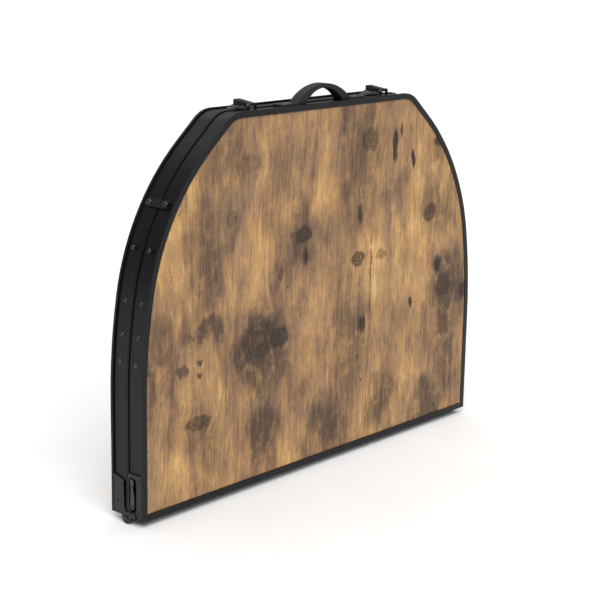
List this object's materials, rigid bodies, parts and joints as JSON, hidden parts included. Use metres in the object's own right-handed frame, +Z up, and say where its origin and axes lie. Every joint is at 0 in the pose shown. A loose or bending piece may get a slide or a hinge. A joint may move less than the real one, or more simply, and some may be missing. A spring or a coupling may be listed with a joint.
{
  "type": "folding table",
  "caption": "Case-style folding table with a wood-grain top in a dark metal frame, carry handle, lever latches and sideways-folding legs, shown closed.",
  "frame": {"origin": "on the floor, midway along the hinge line, in the seam plane between the two halves", "axes": "+X along the hinge line, -Y out of the front table-top face, +Z up towards the carry handle"},
  "size_m": [0.8078, 0.07, 0.6361],
  "materials": {
    "table_board": "satin wood-grain print",
    "frame_finish": "satin charcoal",
    "cross_rail": "satin",
    "leg_tube": "satin anodised",
    "black_plastic": "matte",
    "zinc_steel": "zinc plated",
    "rivets": "satin",
    "side_screws": "satin",
    "corner_plate": "satin",
    "corner_catch": "satin",
    "keeper": "satin",
    "keeper_screws": "satin",
    "hinge_pin": "bright",
    "handle": "fine texture",
    "handle_mount": "satin",
    "top_screws": "satin",
    "latch_base": "satin",
    "latch_lever": "satin",
    "latch_rod": "bright",
    "strike": "zinc plated"
  },
  "bodies": {
    "hinge_pins": {"left_hinge_pin": "hinge_pin", "right_hinge_pin": "hinge_pin"},
    "front_half": {"front_board": "table_board", "front_catch_corner": "corner_plate", "front_cross_rail": "cross_rail", "front_fold_rail": "frame_finish", "front_keeper": "keeper", "front_keeper_screws": "keeper_screws", "front_left_leg_bracket": "zinc_steel", "front_leg_clips": "black_plastic", "front_leg_pins": "zinc_steel", "front_perimeter_frame": "frame_finish", "front_plain_corner": "corner_plate", "front_right_leg_bracket": "zinc_steel", "front_rivets": "rivets", "front_side_brackets": "zinc_steel", "front_side_screws": "side_screws", "handle": "handle", "handle_mount_left": "handle_mount", "handle_mount_right": "handle_mount", "latch_pins": "zinc_steel", "left_latch_base": "latch_base", "right_latch_base": "latch_base", "top_screws": "top_screws"},
    "rear_half": {"left_strike": "strike", "rear_board": "table_board", "rear_catch_corner": "corner_plate", "rear_cross_rail": "cross_rail", "rear_fold_rail": "frame_finish", "rear_keeper": "keeper", "rear_keeper_screws": "keeper_screws", "rear_left_leg_bracket": "zinc_steel", "rear_leg_clips": "black_plastic", "rear_leg_pins": "zinc_steel", "rear_perimeter_frame": "frame_finish", "rear_plain_corner": "corner_plate", "rear_right_leg_bracket": "zinc_steel", "rear_rivets": "rivets", "rear_side_brackets": "zinc_steel", "rear_side_screws": "side_screws", "right_strike": "strike", "strike_screws": "top_screws"},
    "front_left_leg": {"front_left_leg_tube": "leg_tube", "front_left_leg_plug": "black_plastic", "front_left_foot": "black_plastic"},
    "front_right_leg": {"front_right_leg_tube": "leg_tube", "front_right_leg_plug": "black_plastic", "front_right_foot": "black_plastic"},
    "front_catch": {"front_corner_catch": "corner_catch"},
    "rear_left_leg": {"rear_left_leg_tube": "leg_tube", "rear_left_leg_plug": "black_plastic", "rear_left_foot": "black_plastic"},
    "rear_right_leg": {"rear_right_leg_tube": "leg_tube", "rear_right_leg_plug": "black_plastic", "rear_right_foot": "black_plastic"},
    "rear_catch": {"rear_corner_catch": "corner_catch"},
    "left_lever": {"left_latch_lever": "latch_lever", "left_latch_rod": "latch_rod"},
    "right_lever": {"right_latch_lever": "latch_lever", "right_latch_rod": "latch_rod"}
  },
  "joints": [
    {"name": "front_fold", "type": "hinge", "parent": "hinge_pins", "child": "front_half", "pos_m": [0, 0, 0.0095], "axis": [1, 0, 0], "range_deg": [0, 90]},
    {"name": "rear_fold", "type": "hinge", "parent": "hinge_pins", "child": "rear_half", "pos_m": [0, 0, 0.0095], "axis": [-1, 0, 0], "range_deg": [0, 90]},
    {"name": "front_left_leg_swing", "type": "hinge", "parent": "front_half", "child": "front_left_leg", "pos_m": [-0.32, -0.0135, 0.3495], "axis": [0, 0, 1], "range_deg": [0, 90]},
    {"name": "front_right_leg_swing", "type": "hinge", "parent": "front_half", "child": "front_right_leg", "pos_m": [0.345, -0.0135, 0.3885], "axis": [0, 0, -1], "range_deg": [0, 90]},
    {"name": "front_catch_rock", "type": "hinge", "parent": "front_half", "child": "front_catch", "pos_m": [-0.3975, -0.0096, 0.028], "axis": [1, 0, 0], "range_deg": [0, 5]},
    {"name": "rear_left_leg_swing", "type": "hinge", "parent": "rear_half", "child": "rear_left_leg", "pos_m": [0.32, 0.0135, 0.3495], "axis": [0, 0, 1], "range_deg": [0, 90]},
    {"name": "rear_right_leg_swing", "type": "hinge", "parent": "rear_half", "child": "rear_right_leg", "pos_m": [-0.345, 0.0135, 0.3885], "axis": [0, 0, -1], "range_deg": [0, 90]},
    {"name": "rear_catch_rock", "type": "hinge", "parent": "rear_half", "child": "rear_catch", "pos_m": [0.3975, 0.0096, 0.028], "axis": [-1, 0, 0], "range_deg": [0, 5]},
    {"name": "left_latch_lift", "type": "hinge", "parent": "front_half", "child": "left_lever", "pos_m": [-0.1575, -0.0185, 0.61389], "axis": [1, 0, 0], "range_deg": [-4, 100]},
    {"name": "right_latch_lift", "type": "hinge", "parent": "front_half", "child": "right_lever", "pos_m": [0.1575, -0.0185, 0.61389], "axis": [1, 0, 0], "range_deg": [-4, 100]}
  ],
  "couplings": [
    {"joint": "rear_fold", "follows": "front_fold", "ratio": 1},
    {"joint": "front_left_leg_swing", "follows": "front_fold", "ratio": 1},
    {"joint": "front_right_leg_swing", "follows": "front_fold", "ratio": 1},
    {"joint": "rear_left_leg_swing", "follows": "front_fold", "ratio": 1},
    {"joint": "rear_right_leg_swing", "follows": "front_fold", "ratio": 1}
  ]
}
